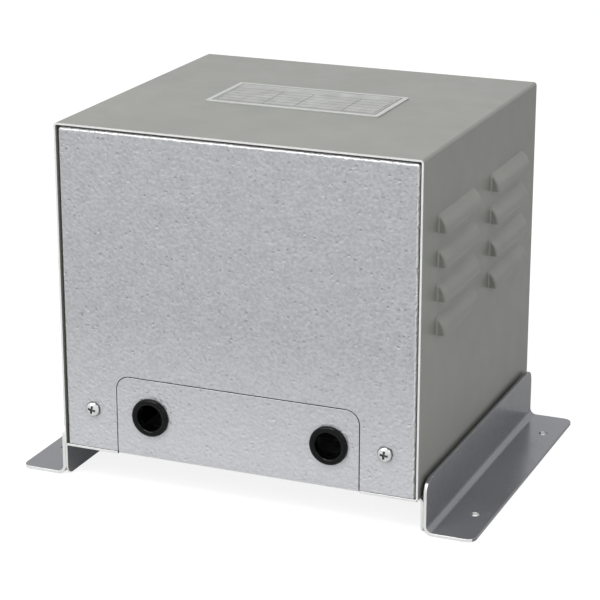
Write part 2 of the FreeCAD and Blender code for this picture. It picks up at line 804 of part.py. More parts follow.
def make_block_fasteners():
    """Screws through the block's ears and the bracket, with nuts behind it."""
    seat = bracket_face - block_base / 2.0
    back = bracket_face + bracket_sheet
    length = back + 0.8 * bracket_screw_size + tail / 2.0 - seat
    screws = []
    nuts = []
    for x, z in block_screw_points():
        screws.append(cap_screw(bracket_screw_size, V(x, seat, z), ALONG_Y, length))
        nuts.append(nut(bracket_screw_size, V(x, back, z), ALONG_Y))
    return group(screws), group(nuts)


def earth_point():
    return V(inner_side - earth_inset, panel_face + earth_back, tray_lift)


def make_earth_fasteners():
    """Earth stud up through the tray floor, with its washer and nut."""
    stud = hex_bolt(earth_size, earth_point(), UP, tray_sheet + earth_height)
    seat = earth_point() + UP * tray_sheet
    ring = washer(earth_size, seat, UP)
    return stud, ring, nut(earth_size, seat + UP * washer_sheet, UP)


def make_parts():
    """Every piece of the part, by node name."""
    foot = make_foot()
    lug = make_lug()
    lug_nut, panel_screw = panel_screw_parts()
    outlets = outlet_points(panel_face)
    parts = {
        "tray": make_tray(),
        "foot_left": mirrored(foot),
        "foot_right": foot,
        "cover": make_cover(),
        "front_panel": make_front_panel(),
        "rear_panel": make_rear_panel(),
        "nameplate": make_nameplate(),
        "grommet_left": make_grommet(outlets[0]),
        "grommet_right": make_grommet(outlets[1]),
        "panel_lug_left": mirrored(lug),
        "panel_lug_right": lug,
        "panel_nut_left": mirrored(lug_nut),
        "panel_nut_right": lug_nut,
        "panel_screw_left": mirrored(panel_screw),
        "panel_screw_right": panel_screw,
        "core": make_core(),
        "clamp_angle_front": make_clamp_angle(-1),
        "clamp_angle_rear": make_clamp_angle(1),
        "clamp_bar_front": make_clamp_bar(-1),
        "clamp_bar_rear": make_clamp_bar(1),
        "terminal_bracket": make_bracket(),
        "terminal_block": make_terminal_block(),
    }
    parts.update(make_coil())
    parts["cover_screws"], parts["cover_nuts"] = make_cover_screws()
    parts["core_bolts"], parts["core_washers"], parts["core_nuts"] = make_core_fasteners()
    parts["mount_bolts"], parts["mount_washers"], parts["mount_nuts"] = make_mount_fasteners()
    parts["bracket_screws"], parts["bracket_nuts"] = make_bracket_fasteners()
    parts["terminal_strips"], parts["terminal_screws"] = make_terminals()
    parts["block_screws"], parts["block_nuts"] = make_block_fasteners()
    parts["earth_stud"], parts["earth_washer"], parts["earth_nut"] = make_earth_fasteners()
    return parts


def main():
    os.makedirs("parts", exist_ok=True)
    for name, shape in make_parts().items():
        shape.exportStep(os.path.join("parts", name + ".step"))
        size = shape.BoundBox
        print(f"{name}: {len(shape.Solids)} solids, valid {shape.isValid()}, "
              f"{size.XLength:.1f} x {size.YLength:.1f} x {size.ZLength:.1f}")


main()
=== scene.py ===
import json
import math

import bmesh
import bpy
from bpy.props import FloatProperty, FloatVectorProperty, IntProperty, PointerProperty
from bpy.types import Operator, Panel, PropertyGroup
from mathutils import Euler, Matrix, Vector


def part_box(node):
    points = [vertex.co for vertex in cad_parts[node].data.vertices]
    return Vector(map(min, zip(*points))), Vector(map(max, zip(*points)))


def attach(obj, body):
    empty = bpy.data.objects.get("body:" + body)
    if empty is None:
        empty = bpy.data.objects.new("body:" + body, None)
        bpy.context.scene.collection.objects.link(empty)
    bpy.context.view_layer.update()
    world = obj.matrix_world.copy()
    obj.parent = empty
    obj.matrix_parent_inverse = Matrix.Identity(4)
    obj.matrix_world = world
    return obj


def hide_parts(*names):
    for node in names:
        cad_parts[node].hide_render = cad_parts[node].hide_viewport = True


# Finish, fittings and studio for an autotransformer in a louvred sheet-steel case.
# Metres. X runs to the right as seen from the front, Y from the front to the rear, Z up.

bl_info = {
    "name": "Autotransformer dressing",
    "version": (1, 0, 0),
    "blender": (4, 5, 0),
    "location": "View3D > Sidebar > Autotransformer",
    "description": "Paints and fits out a cased autotransformer and sets up its studio",
    "category": "Object",
}

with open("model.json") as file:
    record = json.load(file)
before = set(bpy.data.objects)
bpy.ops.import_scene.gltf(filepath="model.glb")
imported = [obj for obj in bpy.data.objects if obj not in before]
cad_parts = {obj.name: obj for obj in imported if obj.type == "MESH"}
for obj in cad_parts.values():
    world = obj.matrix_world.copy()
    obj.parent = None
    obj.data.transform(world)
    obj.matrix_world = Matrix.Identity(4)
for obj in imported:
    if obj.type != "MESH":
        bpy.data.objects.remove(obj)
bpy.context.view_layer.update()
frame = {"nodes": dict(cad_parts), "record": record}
NODES = frame["nodes"]

MM = 0.001
UP = Vector((0, 0, 1))
REARWARD = Vector((0, 1, 0))
PLATE_LOW, PLATE_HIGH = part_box("nameplate")

CASE_SHEET = 1.2 * MM
TRAY_SHEET = 1.5 * MM
FOOT_SHEET = 2.0 * MM
PAN_WIDTH = 1.9                     # a pan head's width over its screw's size
PAN_HEIGHT = 0.6                    # and its height over the same size
WELD_DISTANCE = 0.001 * MM
FLAT_ANGLE = math.radians(0.5)      # triangles that differ by less are one flat face
SHEET_SHARP = math.radians(32)      # edges that stay sharp: sheets, outlets and screws
OUTLET_SHARP = math.radians(50)
SCREW_SHARP = math.radians(38)
BEVEL_ANGLE = math.radians(50)
PANEL_SCREW_TURN = math.radians(15)

# Lamps: name, the setting of its power, side of its square, place
LAMPS = (
    ("key_lamp", "key_power", 0.7, (-0.8, -1.2, 1.1)),
    ("top_lamp", "top_power", 0.6, (-0.1, -0.8, 1.4)),
    ("side_lamp", "side_power", 0.4, (1.0, -0.5, 0.8)),
)
LAMP_AIM = (0.0, 0.0, 0.1)
FLOOR_HALF = 4.0
FLOOR_DROP = 0.2 * MM               # keeps the floor clear of the feet's undersides
SENSOR_WIDTH = 36.0


def colour(name, text, default):
    return FloatVectorProperty(name=name, description=text, subtype="COLOR", size=3,
                               min=0.0, max=1.0, default=default)


def length(name, text, default, low=0.0, high=2.0):
    return FloatProperty(name=name, description=text, unit="LENGTH", min=low, max=high,
                         default=default, precision=5)


class FinishSettings(PropertyGroup):
    cover_colour: colour("Cover", "Satin paint of the wrap-round cover", (0.28, 0.286, 0.262))
    panel_colour: colour("Panel", "Silver hammer finish of panel and tray", (0.50, 0.505, 0.525))
    foot_colour: colour("Feet", "Satin paint of the foot brackets", (0.218, 0.222, 0.239))
    # Cut edges: bare steel, made bright enough to be a painted highlight along the edges as well.
    edge_and_highlight_colour: colour("Cut edges", "Bare edges of the cut sheets", (0.88, 0.88, 0.87))
    peel_cell: length("Peel cell", "Width of one dimple of the hammer finish", 2.4 * MM)
    peel_depth: length("Peel depth", "Depth of the dimples", 0.6 * MM)
    edge_round: length("Edge rounding", "Rounding of the sheets' edges", 0.15 * MM)


class OutletSettings(PropertyGroup):
    bore: length("Bore", "Hole that the cable goes through", 16.0 * MM)
    neck: length("Neck", "Width of the ring inside its seat", 20.0 * MM)
    lip: length("Lip", "Thickness of the lip on each side of the sheet", 2.5 * MM)
    squareness: FloatProperty(name="Squareness", min=2.0, max=6.0, default=2.4,
                              description="Shape of the lip's section, where 2 is round")


class ScrewSettings(PropertyGroup):
    recess_span: FloatProperty(name="Recess span", min=0.2, max=0.9, default=0.5,
                               description="Cross recess over the head's width")
    recess_slot: FloatProperty(name="Recess slot", min=0.05, max=0.4, default=0.15,
                               description="Slot's width over the head's width")
    recess_depth: FloatProperty(name="Recess depth", min=0.1, max=0.9, default=0.5,
                                description="Recess over the head's height")
    seed: IntProperty(name="Seed", description="Turns each recess its own way", min=0, default=7)


class NameplateSettings(PropertyGroup):
    line: length("Line", "Width of the printed lines", 0.7 * MM)
    margin: length("Margin", "Plate's edge to the frame line", 3.2 * MM)
    rows: IntProperty(name="Rows", description="Empty rows of the table", min=1, max=12, default=5)
    print_height: length("Print height", "Thickness of the print", 0.06 * MM)


class CoreSettings(PropertyGroup):
    lamination: length("Lamination", "Thickness of one lamination with its varnish", 0.5 * MM)
    stagger: length("Stagger", "How far laminations stand out of line", 0.08 * MM)
    seed: IntProperty(name="Seed", description="Pattern of the stagger", min=0, default=3)


class StageSettings(PropertyGroup):
    azimuth: FloatProperty(name="Azimuth", description="Camera's turn to the right of the front",
                           subtype="ANGLE", default=math.radians(22.65))
    elevation: FloatProperty(name="Elevation", description="Camera's height above the horizon",
                             subtype="ANGLE", default=math.radians(18.2))
    distance: length("Distance", "Camera to the point it looks at", 1.3585, high=10.0)
    aim: FloatVectorProperty(name="Aim", description="Point the camera looks at",
                             subtype="TRANSLATION", default=(-0.0003, -0.0049, 0.0996))
    lens: FloatProperty(name="Lens", description="Focal length on a 36 mm sensor, in millimetres",
                        min=10.0, max=500.0, default=130.52)
    ambient: FloatProperty(name="Ambient", description="Strength of the even light",
                           min=0.0, max=4.0, default=0.35)
    key_power: FloatProperty(name="Key", description="Power of the lamp at the front left",
                             unit="POWER", min=0.0, default=5.5)
    top_power: FloatProperty(name="Top", description="Power of the lamp overhead",
                             unit="POWER", min=0.0, default=8.1)
    side_power: FloatProperty(name="Side", description="Power of the lamp at the right",
                              unit="POWER", min=0.0, default=1.1)


SETTINGS = {
    "autotransformer_finish": FinishSettings,
    "autotransformer_outlets": OutletSettings,
    "autotransformer_screws": ScrewSettings,
    "autotransformer_nameplate": NameplateSettings,
    "autotransformer_core": CoreSettings,
    "autotransformer_stage": StageSettings,
}


class NodeDesk:
    """Adds nodes to one tree; inputs are given by name or number, as values or as sockets."""

    def __init__(self, tree):
        self.tree = tree
        tree.nodes.clear()

    def add(self, kind, inputs=None, **settings):
        node = self.tree.nodes.new(kind)
        for name, value in settings.items():
            setattr(node, name, value)
        for key, value in (inputs or {}).items():
            self.feed(node.inputs[key], value)
        return node

    def feed(self, socket, value):
        if isinstance(value, bpy.types.NodeSocket):
            self.tree.links.new(value, socket)
        else:
            socket.default_value = value


def rgba(colour_value, factor=1.0):
    return tuple(min(1.0, channel * factor) for channel in colour_value[:3]) + (1.0,)


def noise(desk, scale, detail=3.0, stretch=(1.0, 1.0, 1.0)):
    """Noise in the object's own coordinates; scale is cells a metre."""
    place = desk.add("ShaderNodeTexCoord").outputs["Object"]
    if tuple(stretch) != (1.0, 1.0, 1.0):
        place = desk.add("ShaderNodeMapping", {"Vector": place, "Scale": stretch}).outputs[0]
    return desk.add("ShaderNodeTexNoise", {
        "Vector": place, "Scale": scale, "Detail": detail}).outputs["Fac"]


def ramp(desk, value, low, high, to_low, to_high):
    node = desk.add("ShaderNodeMapRange", {"Value": value, "From Min": low, "From Max": high,
                                           "To Min": to_low, "To Max": to_high})
    return node.outputs["Result"]


def blend(desk, factor, first, second):
    """Mix of two colours."""
    node = desk.add("ShaderNodeMix", data_type="RGBA")
    desk.feed(node.inputs[0], factor)
    desk.feed(node.inputs[6], first)
    desk.feed(node.inputs[7], second)
    return node.outputs[2]


def two_tone(desk, value, low, high, paint, dark, light):
    """Paint that goes from its dark to its light tone as the value goes from low to high."""
    share = ramp(desk, value, low, high, 0.0, 1.0)
    return blend(desk, share, rgba(paint, dark), rgba(paint, light))


def combine(desk, operation, first, second=0.0):
    return desk.add("ShaderNodeMath", {0: first, 1: second}, operation=operation).outputs[0]


def frontness(desk):
    """1 on faces of the object that look to its front or rear, 0 on those that look sideways."""
    normal = desk.add("ShaderNodeTexCoord").outputs["Normal"]
    return combine(desk, "ABSOLUTE", desk.add("ShaderNodeSeparateXYZ", {0: normal}).outputs["Y"])


def bump(desk, height, strength, depth):
    return desk.add("ShaderNodeBump", {
        "Height": height, "Strength": strength, "Distance": depth}).outputs["Normal"]


def material(name, fill):
    """Material whose node tree the fill function builds and whose shader it returns."""
    made = bpy.data.materials.new(name)
    made.use_nodes = True
    desk = NodeDesk(made.node_tree)
    shader = fill(desk)
    desk.add("ShaderNodeOutputMaterial", {"Surface": shader.outputs[0]})
    return made


def satin_paint(paint, metallic, roughness):
    """Sprayed paint: a faint flake, a soft drift of tone and a very fine peel."""
    def fill(desk):
        tone = two_tone(desk, noise(desk, 14.0, 2.0), 0.3, 0.7, paint, 0.95, 1.05)
        flake = ramp(desk, noise(desk, 2600.0, 1.0), 0.35, 0.75, 0.0, 1.0)
        tone = blend(desk, combine(desk, "MULTIPLY", flake, 0.16), tone, rgba(paint, 1.8))
        rough = ramp(desk, noise(desk, 60.0), 0.3, 0.7, roughness - 0.03, roughness + 0.04)
        normal = bump(desk, noise(desk, 1100.0, 2.0), 0.25, 0.02 * MM)
        return desk.add("ShaderNodeBsdfPrincipled", {
            "Base Color": tone, "Metallic": metallic, "Roughness": rough, "Normal": normal})
    return fill


def dots(desk, spacing, radius, share, offset):
    """Round soft dots strewn at random: 1 at their middles, 0 between them."""
    place = desk.add("ShaderNodeTexCoord").outputs["Object"]
    moved = desk.add("ShaderNodeMapping", {"Vector": place, "Location": (offset,) * 3}).outputs[0]
    cells = desk.add("ShaderNodeTexVoronoi", {"Vector": moved, "Scale": 1.0 / spacing}).outputs
    dot = ramp(desk, cells["Distance"], 0.3 * radius / spacing, radius / spacing, 1.0, 0.0)
    chance = desk.add("ShaderNodeSeparateColor", {"Color": cells["Color"]}).outputs[0]
    return combine(desk, "MULTIPLY", dot, ramp(desk, chance, share - 0.01, share + 0.01, 1.0, 0.0))


def hammer_finish(paint, cell, depth):
    """Silver hammer finish: shallow dimples under a clear gloss, with small pits and specks.

    Along the bends the colour is painted near white as a painted highlight, and towards the bottom
    it is painted lighter as painted light from the floor."""
    def fill(desk):
        place = desk.add("ShaderNodeTexCoord").outputs["Object"]
        cells = desk.add("ShaderNodeTexVoronoi", {"Vector": place, "Scale": 1.0 / cell},
                         feature="SMOOTH_F1").outputs["Distance"]
        height = combine(desk, "MULTIPLY", cells, 0.5)
        for scale, detail, share in ((1.15, 1.0, 1.2), (0.4, 2.0, 0.7)):
            wave = combine(desk, "MULTIPLY", noise(desk, scale / cell, detail), share)
            height = combine(desk, "ADD", height, wave)
        relief = ramp(desk, height, 0.95, 1.40, 0.0, 1.0)
        tone = blend(desk, relief, rgba(paint, 0.91), rgba(paint, 1.07))

        pit = dots(desk, spacing=1.4 * cell, radius=0.42 * cell, share=0.45, offset=0.0)
        tone = blend(desk, combine(desk, "MULTIPLY", pit, 0.42), tone, rgba(paint, 0.4))
        height = combine(desk, "SUBTRACT", height, combine(desk, "MULTIPLY", pit, 0.5))
        speck = dots(desk, spacing=1.6 * cell, radius=0.36 * cell, share=0.4, offset=0.5)
        tone = blend(desk, combine(desk, "MULTIPLY", speck, 0.35), tone, rgba(paint, 1.7))

        # Painted light: the colour grows lighter towards the bottom of the panel, where light from
        # the floor falls.
        level = desk.add("ShaderNodeSeparateXYZ", {0: place}).outputs["Z"]
        painted_floor_light = ramp(desk, level, 35 * MM, 110 * MM, 0.5, 0.0)
        tone = blend(desk, painted_floor_light, tone, rgba(paint, 1.6))
        # Painted highlight: the colour goes near white along the bends, where the faces turn away
        # from the front.
        painted_bend_highlight = ramp(desk, frontness(desk), 0.86, 0.985, 0.85, 0.0)
        tone = blend(desk, painted_bend_highlight, tone, (0.93, 0.93, 0.94, 1.0))
        return desk.add("ShaderNodeBsdfPrincipled", {
            "Base Color": tone, "Metallic": 0.4,
            "Roughness": ramp(desk, relief, 0.0, 1.0, 0.42, 0.34),
            "Normal": bump(desk, height, 1.0, depth),
            "Coat Weight": 0.7, "Coat Roughness": 0.14,
            "Coat Normal": bump(desk, height, 0.35, depth)})
    return fill


def bare_edge_and_highlight(metal):
    """Freshly cut steel sheet: bright, with a fine shear grain; its brightness is also a painted
    highlight along the edges.
    """
    def fill(desk):
        grain = noise(desk, 900.0, 3.0, (1.0, 1.0, 0.15))
        tone = two_tone(desk, grain, 0.3, 0.7, metal, 0.95, 1.02)
        rough = ramp(desk, grain, 0.3, 0.7, 0.32, 0.45)
        return desk.add("ShaderNodeBsdfPrincipled", {
            "Base Color": tone, "Metallic": 0.8, "Roughness": rough,
            "Normal": bump(desk, grain, 0.2, 0.02 * MM)})
    return fill


def plated(metal, metallic, roughness, spangle):
    """Plated steel: small clouds in tone and gloss over a fine grain."""
    def fill(desk):
        cloud = noise(desk, spangle)
        tone = two_tone(desk, cloud, 0.35, 0.65, metal, 0.88, 1.08)
        rough = ramp(desk, cloud, 0.3, 0.7, roughness - 0.05, roughness + 0.07)
        return desk.add("ShaderNodeBsdfPrincipled", {
            "Base Color": tone, "Metallic": metallic, "Roughness": rough,
            "Normal": bump(desk, noise(desk, 2500.0, 2.0), 0.12, 0.01 * MM)})
    return fill


def polished_head(metal):
    """Bright nickel on a screw head that faces the front, painted dark where it curves to its seat
    as painted shade and a painted dark reflection.
    """
    def fill(desk):
        cloud = noise(desk, 300.0)
        tone = two_tone(desk, cloud, 0.35, 0.65, metal, 0.9, 1.08)
        # Painted shade: the colour darkens where the head turns away from the front, towards its
        # seat.
        painted_rim_shade = ramp(desk, frontness(desk), 0.45, 0.80, 0.9, 0.0)
        tone = blend(desk, painted_rim_shade, tone, rgba(metal, 0.14))
        return desk.add("ShaderNodeBsdfPrincipled", {
            "Base Color": tone, "Metallic": 1.0,
            "Roughness": ramp(desk, cloud, 0.35, 0.65, 0.12, 0.2),
            "Normal": bump(desk, noise(desk, 2500.0, 2.0), 0.1, 0.01 * MM)})
    return fill


def rubber(desk):
    """Moulded rubber with a matt bloom and a faint skin."""
    bloom = noise(desk, 180.0)
    tone = two_tone(desk, bloom, 0.4, 0.7, (0.001, 0.001, 0.001), 1.5, 4.0)
    rough = ramp(desk, bloom, 0.4, 0.7, 0.12, 0.24)
    return desk.add("ShaderNodeBsdfPrincipled", {
        "Base Color": tone, "Roughness": rough, "Specular IOR Level": 0.1,
        "Coat Weight": 0.5, "Coat Roughness": 0.07, "Coat IOR": 1.25,
        "Normal": bump(desk, noise(desk, 1500.0, 2.0), 0.1, 0.02 * MM)})


def brushed_foil(metal):
    """Printed aluminium foil, brushed along the plate."""
    def fill(desk):
        streak = noise(desk, 1600.0, 3.0, (0.03, 1.0, 1.0))
        tone = two_tone(desk, streak, 0.3, 0.7, metal, 0.93, 1.06)
        rough = ramp(desk, streak, 0.3, 0.7, 0.34, 0.46)
        return desk.add("ShaderNodeBsdfPrincipled", {
            "Base Color": tone, "Metallic": 0.45, "Roughness": rough,
            "Normal": bump(desk, streak, 0.15, 0.01 * MM)})
    return fill


def printed_ink(desk):
    """Dark print whose density wavers a little."""
    density = ramp(desk, noise(desk, 700.0, 2.0), 0.3, 0.7, 0.0, 1.0)
    tone = blend(desk, density, (0.07, 0.07, 0.072, 1.0), (0.12, 0.12, 0.122, 1.0))
    return desk.add("ShaderNodeBsdfPrincipled", {"Base Color": tone, "Roughness": 0.5})


def banded(first, second, pitch, axis, roughness, metallic=0.0, depth=0.05 * MM):
    """Layers or turns side by side: one band for each pitch along an axis.

    A wave texture of scale 1 has its bands 0.314 apart."""
    def fill(desk):
        place = desk.add("ShaderNodeTexCoord").outputs["Object"]
        wave = desk.add("ShaderNodeTexWave", {"Vector": place, "Scale": 0.314 / pitch,
                                              "Distortion": 0.4, "Detail": 1.0},
                        wave_type="BANDS", bands_direction=axis).outputs["Fac"]
        cloud = ramp(desk, noise(desk, 220.0), 0.3, 0.7, 0.0, 0.5)
        tone = blend(desk, wave, rgba(first), rgba(second))
        tone = blend(desk, cloud, tone, rgba(first, 0.8))
        rough = ramp(desk, wave, 0.0, 1.0, roughness - 0.06, roughness + 0.08)
        return desk.add("ShaderNodeBsdfPrincipled", {
            "Base Color": tone, "Metallic": metallic, "Roughness": rough,
            "Normal": bump(desk, wave, 0.6, depth)})
    return fill


def moulded(base, roughness, grain):
    """Moulded plastic with a fine grain."""
    def fill(desk):
        cloud = noise(desk, 90.0, 2.0)
        tone = two_tone(desk, cloud, 0.3, 0.7, base, 0.85, 1.2)
        rough = ramp(desk, cloud, 0.3, 0.7, roughness, roughness + 0.08)
        return desk.add("ShaderNodeBsdfPrincipled", {
            "Base Color": tone, "Roughness": rough,
            "Normal": bump(desk, noise(desk, grain), 0.2, 0.03 * MM)})
    return fill


FINISHES = {}


def make_finishes(settings):
    """Makes every finish of the part, by the name of its material slot or of its place."""
    recipes = {
        "cover_paint": satin_paint(settings.cover_colour, 0.22, 0.40),
        "panel_hammertone": hammer_finish(settings.panel_colour, settings.peel_cell,
                                          settings.peel_depth),
        "foot_paint": satin_paint(settings.foot_colour, 0.5, 0.24),
        "cut_edge": bare_edge_and_highlight(settings.edge_and_highlight_colour),
        "nameplate_foil": brushed_foil((0.60, 0.61, 0.59)),
        "plate_field": moulded((0.47, 0.48, 0.465), 0.4, 900.0),
        "plate_print": printed_ink,
        "outlet_rubber": rubber,
        "panel_screw_steel": polished_head((0.74, 0.74, 0.75)),
        "recess_shade": plated((0.14, 0.14, 0.142), 0.8, 0.4, 300.0),
        "zinc_plate": plated((0.60, 0.61, 0.63), 0.85, 0.36, 160.0),
        "lamination_steel": banded((0.10, 0.10, 0.11), (0.22, 0.22, 0.24), 0.5 * MM, "Y", 0.42,
                                   metallic=0.5),
        "former_plastic": moulded((0.02, 0.02, 0.02), 0.45, 900.0),
        "enamelled_copper": banded((0.16, 0.045, 0.012), (0.42, 0.14, 0.035), 1.6 * MM, "Z", 0.28,
                                   metallic=0.6, depth=0.3 * MM),
        "coil_paper": banded((0.50, 0.42, 0.22), (0.58, 0.50, 0.28), 12.0 * MM, "Z", 0.55),
        "block_plastic": moulded((0.012, 0.012, 0.013), 0.3, 600.0),
        "terminal_brass": plated((0.72, 0.52, 0.22), 0.9, 0.28, 240.0),
    }
    for name, fill in recipes.items():
        FINISHES[name] = material(name, fill)


def paint_node(node, slot_name):
    """Gives a piece that keeps its own shape its finish."""
    for slot in NODES[node].material_slots:
        slot.material = FINISHES[slot_name]


def add_object(name, data):
    made = bpy.data.objects.new(name, data)
    bpy.context.scene.collection.objects.link(made)
    return made


def drop_object(obj):
    mesh = obj.data
    bpy.data.objects.remove(obj)
    if mesh.users == 0:
        bpy.data.meshes.remove(mesh)


def finished_mesh(name, shape):
    """Mesh of a shape that needs no more work."""
    mesh = bpy.data.meshes.new(name)
    shape.to_mesh(mesh)
    shape.free()
    return mesh


def thicken(shape, faces, offset):
    """Turns flat faces into a closed plate."""
    raised = bmesh.ops.extrude_face_region(shape, geom=faces, use_keep_orig=True)
    moved = [item for item in raised["geom"] if isinstance(item, bmesh.types.BMVert)]
    bmesh.ops.translate(shape, verts=moved, vec=offset)
    bmesh.ops.recalc_face_normals(shape, faces=shape.faces)


def baked(obj):
    """Plain object in place of one with modifiers."""
    bpy.context.view_layer.update()
    graph = bpy.context.evaluated_depsgraph_get()
    mesh = bpy.data.meshes.new_from_object(obj.evaluated_get(graph), depsgraph=graph)
    name = obj.name
    drop_object(obj)
    mesh.name = name
    return add_object(name, mesh)


def seat_piece(obj, nodes=()):
    """Hands a finished piece to the frame."""
    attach(obj, "root")
    if nodes:
        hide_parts(*nodes)


def welded_mesh(node):
    """Copy of a node's mesh with its loose triangles joined."""
    shape = bmesh.new()
    shape.from_mesh(NODES[node].data)
    bmesh.ops.remove_doubles(shape, verts=shape.verts, dist=WELD_DISTANCE)
    return shape


def mark_cut_faces(shape, sheet, slot_index):
    """Puts bare metal on the narrow faces at the front and rear where the sheet was cut; kept to
    these faces, its brightness is also a painted highlight.

    Such a face is as wide as the sheet's thickness, and meets the sheet's sides at sharp edges."""
    least_facing, same, mostly, corner = 0.7, 0.02, 0.8, math.radians(45)
    for face in shape.faces:
        if abs(face.normal.y) < least_facing:
            continue
        across = [edge for edge in face.edges if abs(edge.calc_length() - sheet) < same * sheet]
        along = [edge for edge in face.edges if edge not in across]
        run = sum(edge.calc_length() for edge in along)
        sharp_run = sum(edge.calc_length() for edge in along if edge.calc_face_angle(0) > corner)
        narrow = face.calc_area() < mostly * sheet * face.calc_perimeter()
        if len(across) >= 2 and narrow and sharp_run > mostly * run:
            face.material_index = slot_index


def dress_sheet(node, sheet, slot_name, rounding, inner_name=None):
    """Sheet-metal piece with softened edges, painted faces and bare cut edges that also carry a
    painted highlight.

    A rounding of 0 leaves the edges as they are. With an inner finish, the outer one is kept for
    the faces that look to the front, and the inner one goes on the rest; on the tray that is the
    darker foot paint, partly painted shade."""
    outer, bare, inner = range(3)
    least_facing = 0.5
    shape = welded_mesh(node)
    bmesh.ops.dissolve_limit(shape, angle_limit=FLAT_ANGLE, verts=shape.verts, edges=shape.edges)
    for face in shape.faces:
        hidden = inner_name and face.normal.y > -least_facing
        face.material_index = inner if hidden else outer
        face.smooth = True
    # Bare steel on the cut faces, which is also a painted highlight.
    mark_cut_faces(shape, sheet, bare)
    mesh = finished_mesh(node + "_sheet", shape)
    piece = add_object(node + "_sheet", mesh)
    for finish in (slot_name, "cut_edge", inner_name or slot_name):
        mesh.materials.append(FINISHES[finish])
    mesh.set_sharp_from_angle(angle=SHEET_SHARP)
    if rounding > 0:
        soft = piece.modifiers.new("Edges", "BEVEL")
        soft.width = rounding
        soft.segments = 2
        soft.limit_method = "ANGLE"
        soft.angle_limit = BEVEL_ANGLE
        soft.use_clamp_overlap = False
    flat = piece.modifiers.new("Flat areas", "WEIGHTED_NORMAL")
    flat.keep_sharp = True
    seat_piece(baked(piece), [node])


def islands(node):
    """Lowest and highest corner of each separate solid in a node."""
    shape = welded_mesh(node)
    found = []
    waiting = set(shape.verts)
    while waiting:
        stack = [waiting.pop()]
        corners = []
        while stack:
            vert = stack.pop()
            corners.append(vert.co.copy())
            for edge in vert.link_edges:
                other = edge.other_vert(vert)
                if other in waiting:
                    waiting.remove(other)
                    stack.append(other)
        low = Vector([min(c[axis] for c in corners) for axis in range(3)])
        high = Vector([max(c[axis] for c in corners) for axis in range(3)])
        found.append((low, high))
    shape.free()
    return sorted(found, key=lambda box: tuple(round(value, 5) for value in box[0]))


def lathe(name, profile, steps, hollow=False):
    """Closed solid turned about Z from a profile of radius and height pairs.

    A hollow one is a ring, and its profile's last point joins its first."""
    shape = bmesh.new()
    rings = []
    for radius, height in profile:
        ring = []
        for step in range(steps if radius > 0 else 1):
            angle = 2 * math.pi * step / steps
            place = (radius * math.cos(angle), radius * math.sin(angle), height)
            ring.append(shape.verts.new(place))
        rings.append(ring)
    for lower, upper in zip(rings, rings[1:] + (rings[:1] if hollow else [])):
        for step in range(steps):
            ahead = (step + 1) % steps
            corners = [lower[step % len(lower)], lower[ahead % len(lower)],
                       upper[ahead % len(upper)], upper[step % len(upper)]]
            shape.faces.new(list(dict.fromkeys(corners)))
    bmesh.ops.recalc_face_normals(shape, faces=shape.faces)
    for face in shape.faces:
        face.smooth = True
    return finished_mesh(name, shape)


def cross_cutter(span, slot, depth, crown):
    """Cross to be cut out of a head whose crown is at z = crown; it widens towards the seat."""
    inner_spread, outer_spread, slot_taper = 1.35, 0.55, 0.4
    shape = bmesh.new()
    for turn in (0.0, math.pi / 2):
        corners = []
        for z, spread in ((crown + depth, inner_spread), (crown - depth, outer_spread)):
            half_span = span / 2 * spread
            half_slot = slot / 2 * (1 - slot_taper + slot_taper * spread)
            for x, y in ((-1, -1), (1, -1), (1, 1), (-1, 1)):
                place = Vector((x * half_span, y * half_slot, z))
                place.rotate(Euler((0, 0, turn)))
                corners.append(shape.verts.new(place))
        shape.faces.new(corners[0:4])
        shape.faces.new(corners[4:8][::-1])
        for side in range(4):
            ahead = (side + 1) % 4
            shape.faces.new([corners[side], corners[side + 4], corners[ahead + 4], corners[ahead]])
    bmesh.ops.recalc_face_normals(shape, faces=shape.faces)
    mesh = finished_mesh("cross_cutter", shape)
    mesh.materials.append(FINISHES["recess_shade"])
    return add_object("cross_cutter", mesh)


def screw_pattern(name, head_width, head_height, shank_width, shank_length, finish, settings):
    """Pan-head screw with a cross recess; its seat is at the origin and its shank runs up +Z.

    The head is an elliptical dome on a low straight rim, with a chamfer under it."""
    rim, shank = head_width / 2, shank_width / 2
    straight, chamfer, tip = 0.1 * head_height, 0.06 * head_height, 0.2 * shank
    dome_share, dome_steps, turns = 0.85, 8, 40
    dome = [(0.0, -head_height)]
    for step in range(1, dome_steps + 1):
        angle = math.radians(90) * step / dome_steps
        rise = 1 - dome_share + dome_share * math.cos(angle)
        dome.append((rim * math.sin(angle), -head_height * rise))
    profile = dome + [(rim, -straight), (rim - chamfer, 0.0), (shank, 0.0),
                      (shank, shank_length - tip), (shank - tip, shank_length),
                      (0.0, shank_length)]
    screw = add_object(name, lathe(name, profile, turns))
    screw.data.materials.append(finish)
    cutter = cross_cutter(settings.recess_span * head_width, settings.recess_slot * head_width,
                          settings.recess_depth * head_height, -head_height)
    cut = screw.modifiers.new("Recess", "BOOLEAN")
    cut.object = cutter
    cut.operation = "DIFFERENCE"
    cut.solver = "EXACT"
    cut.use_self = True
    cut.material_mode = "TRANSFER"
    screw = baked(screw)
    drop_object(cutter)
    screw.data.set_sharp_from_angle(angle=SCREW_SHARP)
    return screw


def group_tree(name, sockets):
    """New geometry node group with named inputs; sockets are (name, kind, default)."""
    tree = bpy.data.node_groups.new(name, "GeometryNodeTree")
    tree.interface.new_socket("Geometry", in_out="INPUT", socket_type="NodeSocketGeometry")
    for label, kind, default in sockets:
        socket = tree.interface.new_socket(label, in_out="INPUT", socket_type=kind)
        if default is not None:
            socket.default_value = default
    tree.interface.new_socket("Geometry", in_out="OUTPUT", socket_type="NodeSocketGeometry")
    return tree


